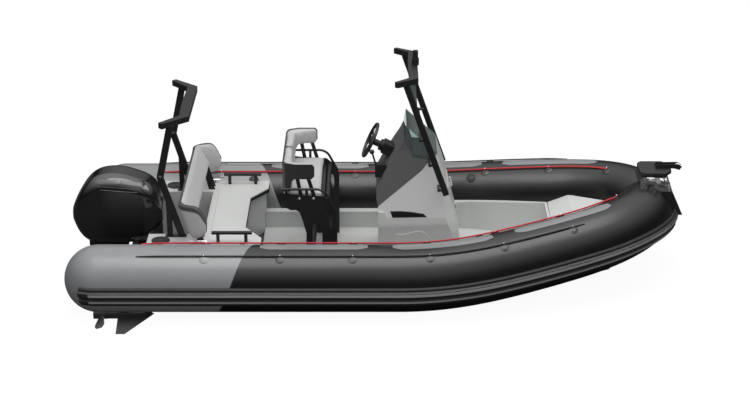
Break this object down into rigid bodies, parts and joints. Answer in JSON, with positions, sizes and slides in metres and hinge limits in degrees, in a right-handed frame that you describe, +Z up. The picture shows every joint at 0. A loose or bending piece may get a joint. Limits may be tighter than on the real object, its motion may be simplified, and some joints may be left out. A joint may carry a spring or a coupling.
{
  "type": "rigid inflatable boat",
  "caption": "Rigid-hull inflatable boat with a two-tone air collar, helm console, leaning seat, aft bench, ski mast and a tilting outboard.",
  "frame": {"origin": "on the waterline, on the centre plane, at mid-length", "axes": "+X towards the bow, +Y to port, +Z up"},
  "size_m": [5.5, 2.6232, 2.772],
  "materials": {
    "hull_gelcoat": "gloss black gelcoat",
    "deck_gelcoat": "satin light grey gelcoat",
    "collar_fabric": "coated fabric, dark forward and mid grey aft",
    "strake_rubber": "extruded rubber with lighter ribs",
    "black_metal": "satin black powder coat",
    "cushion_light": "light grey marine vinyl",
    "cushion_dark": "dark grey marine vinyl",
    "pod_plastic": "satin dark grey moulding",
    "smoked_screen": "smoked acrylic",
    "clear_glass": "pale blue-green glass",
    "stainless": "polished stainless steel",
    "engine_gloss": "gloss black cowling",
    "engine_metal": "satin black casting",
    "cast_block": "bare casting",
    "lamp_lens": "clear lens",
    "black_plastic": "moulded black plastic",
    "trim_plate": "anodised grey plate",
    "lifeline_red": "red braided rope",
    "lifeline_black": "black braided rope",
    "wear_patch": "light grey patch"
  },
  "bodies": {
    "boat": {"aft_backrest": "cushion_light", "aft_moulding": "deck_gelcoat", "anchor_roller": "black_metal", "backrest_brackets": "black_metal", "bench_grab_rails": "black_metal", "bench_seat": "deck_gelcoat", "bow_cleats": "stainless", "bow_eye": "stainless", "bow_nose": "hull_gelcoat", "bow_step": "black_plastic", "clamp_bracket": "engine_metal", "console_base": "deck_gelcoat", "console_pod": "pod_plastic", "deck_moulding": "deck_gelcoat", "deck_plates": "black_plastic", "helm_backrest_pads": "cushion_light", "helm_backrest_shell": "cushion_dark", "helm_grab_loops": "black_metal", "helm_seat_cushion": "cushion_light", "helm_seat_frame": "black_metal", "hull": "hull_gelcoat", "nav_light": "black_plastic", "port_strake": "strake_rubber", "port_tube": "collar_fabric", "screen_frame": "black_metal", "screen_glass": "clear_glass", "ski_mast": "black_metal", "starboard_strake": "strake_rubber", "starboard_tube": "collar_fabric", "steering_hub": "black_plastic", "stern_eyes": "stainless", "throttle_control": "black_plastic", "windscreen": "smoked_screen"},
    "swivel": {"swivel_bracket": "engine_metal"},
    "motor": {"engine_midsection": "engine_metal", "gearcase": "engine_metal", "cowl": "engine_gloss", "engine_tray": "engine_gloss", "powerhead": "cast_block"},
    "screw": {"propeller": "engine_metal"},
    "helm_wheel": {"steering_wheel": "black_plastic"},
    "locker_lid": {"bow_locker_lid": "deck_gelcoat"},
    "console_hatch": {"console_door": "deck_gelcoat"}
  },
  "joints": [
    {"name": "engine_tilt", "type": "hinge", "parent": "boat", "child": "swivel", "pos_m": [-2.2, 0, 0.17], "axis": [0, 1, 0], "range_deg": [0, 65]},
    {"name": "engine_steer", "type": "hinge", "parent": "swivel", "child": "motor", "pos_m": [-2.29, 0, 0.025], "axis": [0, 0, 1], "range_deg": [-30, 30]},
    {"name": "propeller_spin", "type": "hinge", "parent": "motor", "child": "screw", "pos_m": [-2.555, 0, -0.52], "axis": [1, 0, 0], "continuous": true},
    {"name": "helm_turn", "type": "hinge", "parent": "boat", "child": "helm_wheel", "pos_m": [-0.04, 0, 1.205], "axis": [-0.9063, 0, 0.4226], "range_deg": [-540, 540]},
    {"name": "locker_lid_hinge", "type": "hinge", "parent": "boat", "child": "locker_lid", "pos_m": [2.114, 0, 0.565], "axis": [0, 1, 0], "range_deg": [0, 85]},
    {"name": "console_door_hinge", "type": "hinge", "parent": "boat", "child": "console_hatch", "pos_m": [0.783, 0.217, 0.32], "axis": [-0.2121, 0, 0.9772], "range_deg": [0, 100]}
  ],
  "couplings": [
    {"joint": "helm_turn", "follows": "engine_steer", "ratio": 18}
  ]
}
